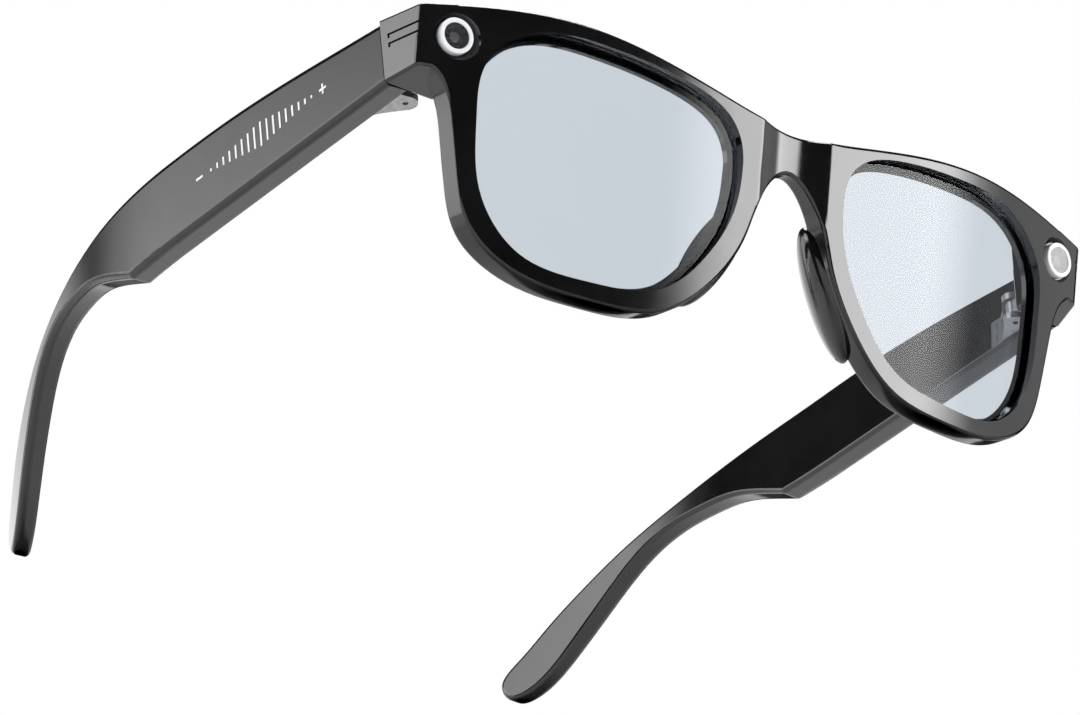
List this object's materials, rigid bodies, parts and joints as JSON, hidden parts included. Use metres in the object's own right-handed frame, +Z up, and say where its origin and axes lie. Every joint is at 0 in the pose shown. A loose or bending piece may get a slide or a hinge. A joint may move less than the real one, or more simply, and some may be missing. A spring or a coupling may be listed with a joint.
{
  "type": "smart glasses",
  "caption": "Black smart glasses with clear lenses, a camera in each front corner, thick folding temples holding the electronics, and a printed volume scale on one temple.",
  "frame": {"origin": "centre of the bounding box, on the table the glasses rest on", "axes": "+X to the wearer's left, +Y from the front towards the temple tips, +Z up; open, resting on the rims and the temple tips"},
  "size_m": [0.152, 0.1564, 0.048],
  "materials": {
    "black_gloss": "polished black acetate-like plastic",
    "black_matte": "fine matt black plastic",
    "clear_lens": "clear lens with a faint cool tint",
    "pale_ring": "pale satin ring",
    "camera_black": "black moulded plastic",
    "camera_glass": "dark clear window",
    "camera_optic": "coated camera lens",
    "circuit_board": "green solder mask",
    "hinge_metal": "dark satin steel",
    "flex_polyimide": "amber flexible circuit",
    "battery_foil": "laminated pouch foil",
    "grille_metal": "blackened steel",
    "microphone_can": "plated metal can",
    "pale_print": "pale grey print"
  },
  "bodies": {
    "front": {"front_frame": "black_gloss", "brow_cable": "flex_polyimide", "lens_left": "clear_lens", "nose_pad_left": "black_gloss", "camera_ring_left": "pale_ring", "camera_barrel_left": "camera_black", "camera_window_left": "camera_glass", "camera_lens_left": "camera_optic", "camera_board_left": "circuit_board", "endpiece_cover_left": "black_matte", "hinge_front_leaf_left": "hinge_metal", "hinge_front_screws_left": "hinge_metal", "lens_right": "clear_lens", "nose_pad_right": "black_gloss", "camera_ring_right": "pale_ring", "camera_barrel_right": "camera_black", "camera_window_right": "camera_glass", "camera_lens_right": "camera_optic", "camera_board_right": "circuit_board", "endpiece_cover_right": "black_matte", "hinge_front_leaf_right": "hinge_metal", "hinge_front_screws_right": "hinge_metal"},
    "temple_left": {"temple_shell_left": "black_gloss", "inner_cover_left": "black_gloss", "hinge_temple_leaf_left": "hinge_metal", "hinge_temple_screws_left": "hinge_metal", "hinge_pin_left": "hinge_metal", "battery_left": "battery_foil", "speaker_left": "camera_black", "speaker_grille_left": "grille_metal", "microphone_left": "microphone_can"},
    "temple_right": {"temple_shell_right": "black_gloss", "inner_cover_right": "black_gloss", "hinge_temple_leaf_right": "hinge_metal", "hinge_temple_screws_right": "hinge_metal", "hinge_pin_right": "hinge_metal", "battery_right": "battery_foil", "speaker_right": "camera_black", "speaker_grille_right": "grille_metal", "microphone_right": "microphone_can", "main_board": "circuit_board", "touch_pad": "flex_polyimide", "button_switch": "camera_black", "volume_scale": "pale_print"},
    "capture_button": {"capture_button": "black_gloss"}
  },
  "joints": [
    {"name": "temple_left_fold", "type": "hinge", "parent": "front", "child": "temple_left", "pos_m": [0.066, -0.05669, 0.0387], "axis": [0, 0.0757, 0.9971], "range_deg": [0, 86]},
    {"name": "temple_right_fold", "type": "hinge", "parent": "front", "child": "temple_right", "pos_m": [-0.066, -0.05669, 0.0387], "axis": [0, -0.0757, -0.9971], "range_deg": [0, 64]},
    {"name": "capture_button_press", "type": "slide", "parent": "temple_right", "child": "capture_button", "axis": [0.0784, -0.0731, -0.9942], "range_m": [0, 0.0004], "stiffness_N_per_m": 1500, "springref_m": -0.0005}
  ]
}
